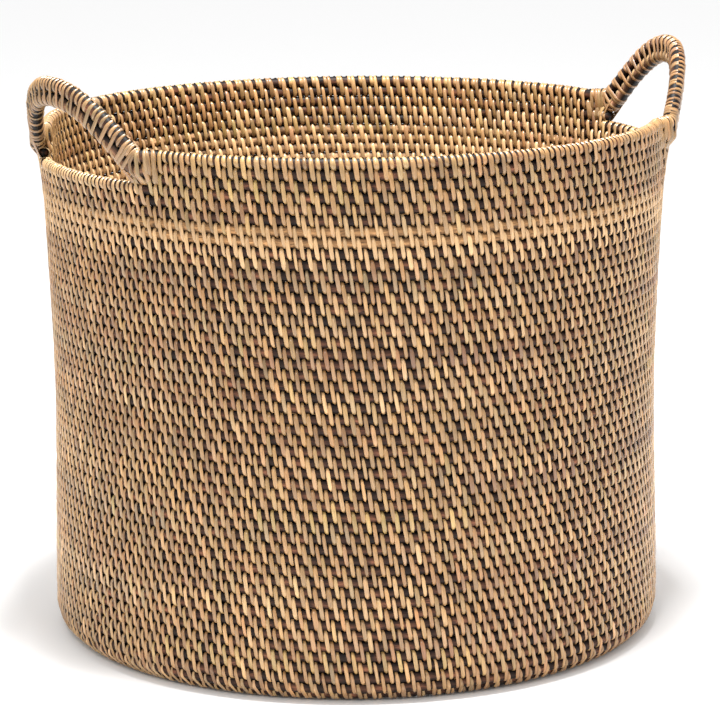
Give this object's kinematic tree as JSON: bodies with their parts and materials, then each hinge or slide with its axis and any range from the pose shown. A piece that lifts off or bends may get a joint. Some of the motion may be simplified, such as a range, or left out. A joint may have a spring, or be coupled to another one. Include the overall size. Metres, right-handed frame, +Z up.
{
  "type": "laundry basket woven",
  "caption": "Round open laundry basket coiled from wrapped cane, with a flat base, straight wall and two arched carrying handles raised from the rim.",
  "frame": {"origin": "on the floor under the middle of the basket, which stands on the flats of its base turns", "axes": "+Z up along the basket's axis, X from the left handle to the right handle, -Y to the front"},
  "size_m": [0.5412, 0.4998, 0.473],
  "materials": {
    "base_cane": "varnished",
    "wall_cane": "varnished",
    "rim_cane": "varnished",
    "handle_cane": "varnished",
    "lashing_strip": "varnished"
  },
  "bodies": {
    "root": {"base_start": "base_cane", "base_coil_1": "base_cane", "base_coil_2": "base_cane", "base_coil_3": "base_cane", "base_coil_4": "base_cane", "base_coil_5": "base_cane", "base_coil_6": "base_cane", "corner_coil": "base_cane", "wall_coil_01": "wall_cane", "wall_coil_02": "wall_cane", "wall_coil_03": "wall_cane", "wall_coil_04": "wall_cane", "wall_coil_05": "wall_cane", "wall_coil_06": "wall_cane", "wall_coil_07": "wall_cane", "wall_coil_08": "wall_cane", "wall_coil_09": "wall_cane", "wall_coil_10": "wall_cane", "wall_coil_11": "wall_cane", "wall_coil_12": "wall_cane", "wall_coil_13": "wall_cane", "wall_coil_14": "wall_cane", "wall_coil_15": "wall_cane", "rim_coil_front": "rim_cane", "rim_coil_back": "rim_cane", "handle_left_outer_rod": "handle_cane", "handle_left_inner_rod": "handle_cane", "handle_left_lashings": "lashing_strip", "handle_right_outer_rod": "handle_cane", "handle_right_inner_rod": "handle_cane", "handle_right_lashings": "lashing_strip"}
  },
  "joints": []
}
